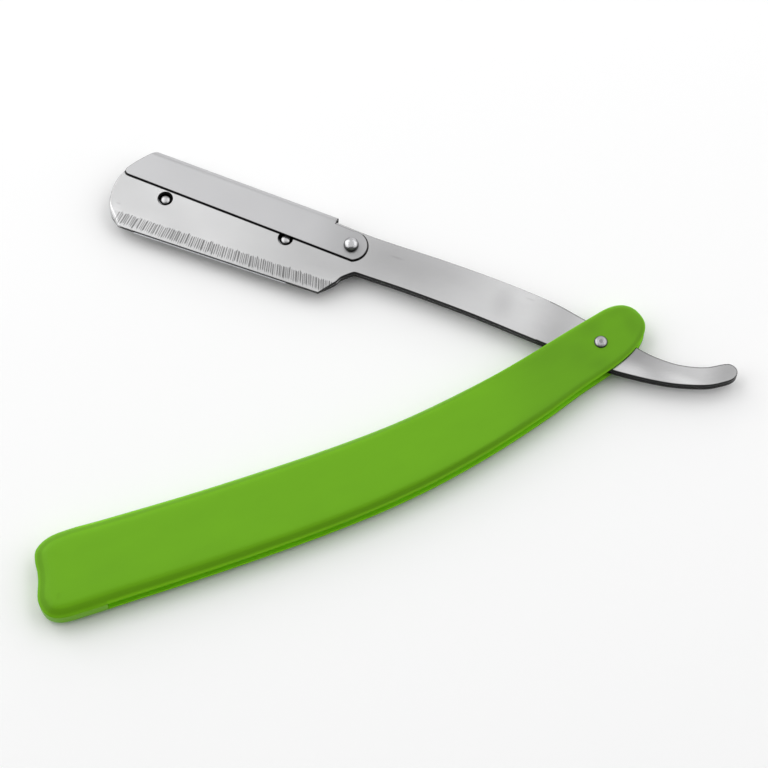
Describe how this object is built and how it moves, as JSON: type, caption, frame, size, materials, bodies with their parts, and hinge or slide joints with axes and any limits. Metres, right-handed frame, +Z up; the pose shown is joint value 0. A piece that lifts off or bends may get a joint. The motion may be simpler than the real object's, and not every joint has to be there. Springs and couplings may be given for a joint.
{
  "type": "replaceable blade straight razor",
  "caption": "Folding straight razor whose steel arm clamps a replaceable half blade under a swing lock and folds into a slotted plastic handle.",
  "frame": {"origin": "centre of the bounding box at its bottom, so the razor lies on z = 0 with its arm open as pictured", "axes": "+X from the handle's butt towards its pivot, +Y from the handle towards the arm's nose, +Z up through the scales along every pivot's axis"},
  "size_m": [0.1632, 0.1046, 0.0065],
  "materials": {
    "green_plastic": "satin moulded plastic",
    "rivet_steel": "polished",
    "washer_brass": "plain",
    "plate_steel": "satin polished, cross-ground along the edge",
    "lock_steel": "satin",
    "blade_steel": "bright ground edge"
  },
  "bodies": {
    "handle": {"handle": "green_plastic", "pivot_pin": "rivet_steel", "pivot_washer_front": "washer_brass", "pivot_washer_rear": "washer_brass"},
    "arm": {"front_plate": "plate_steel", "rear_plate": "plate_steel", "locating_peg_nose": "rivet_steel", "locating_peg_heel": "rivet_steel", "lock_rivet": "rivet_steel"},
    "lock": {"swing_lock": "lock_steel"},
    "blade": {"half_blade": "blade_steel"}
  },
  "joints": [
    {"name": "arm_pivot", "type": "hinge", "parent": "handle", "child": "arm", "pos_m": [0.05603, -0.03287, 0.00325], "axis": [0, 0, -1], "range_deg": [-42.7, 226.6]},
    {"name": "lock_swing", "type": "hinge", "parent": "arm", "child": "lock", "pos_m": [0.01407, 0.01197, 0.00325], "axis": [0, 0, -1], "range_deg": [0, 95]},
    {"name": "blade_slide", "type": "slide", "parent": "arm", "child": "blade", "axis": [-0.6871, -0.7266, 0], "range_m": [0, 0.014]}
  ]
}
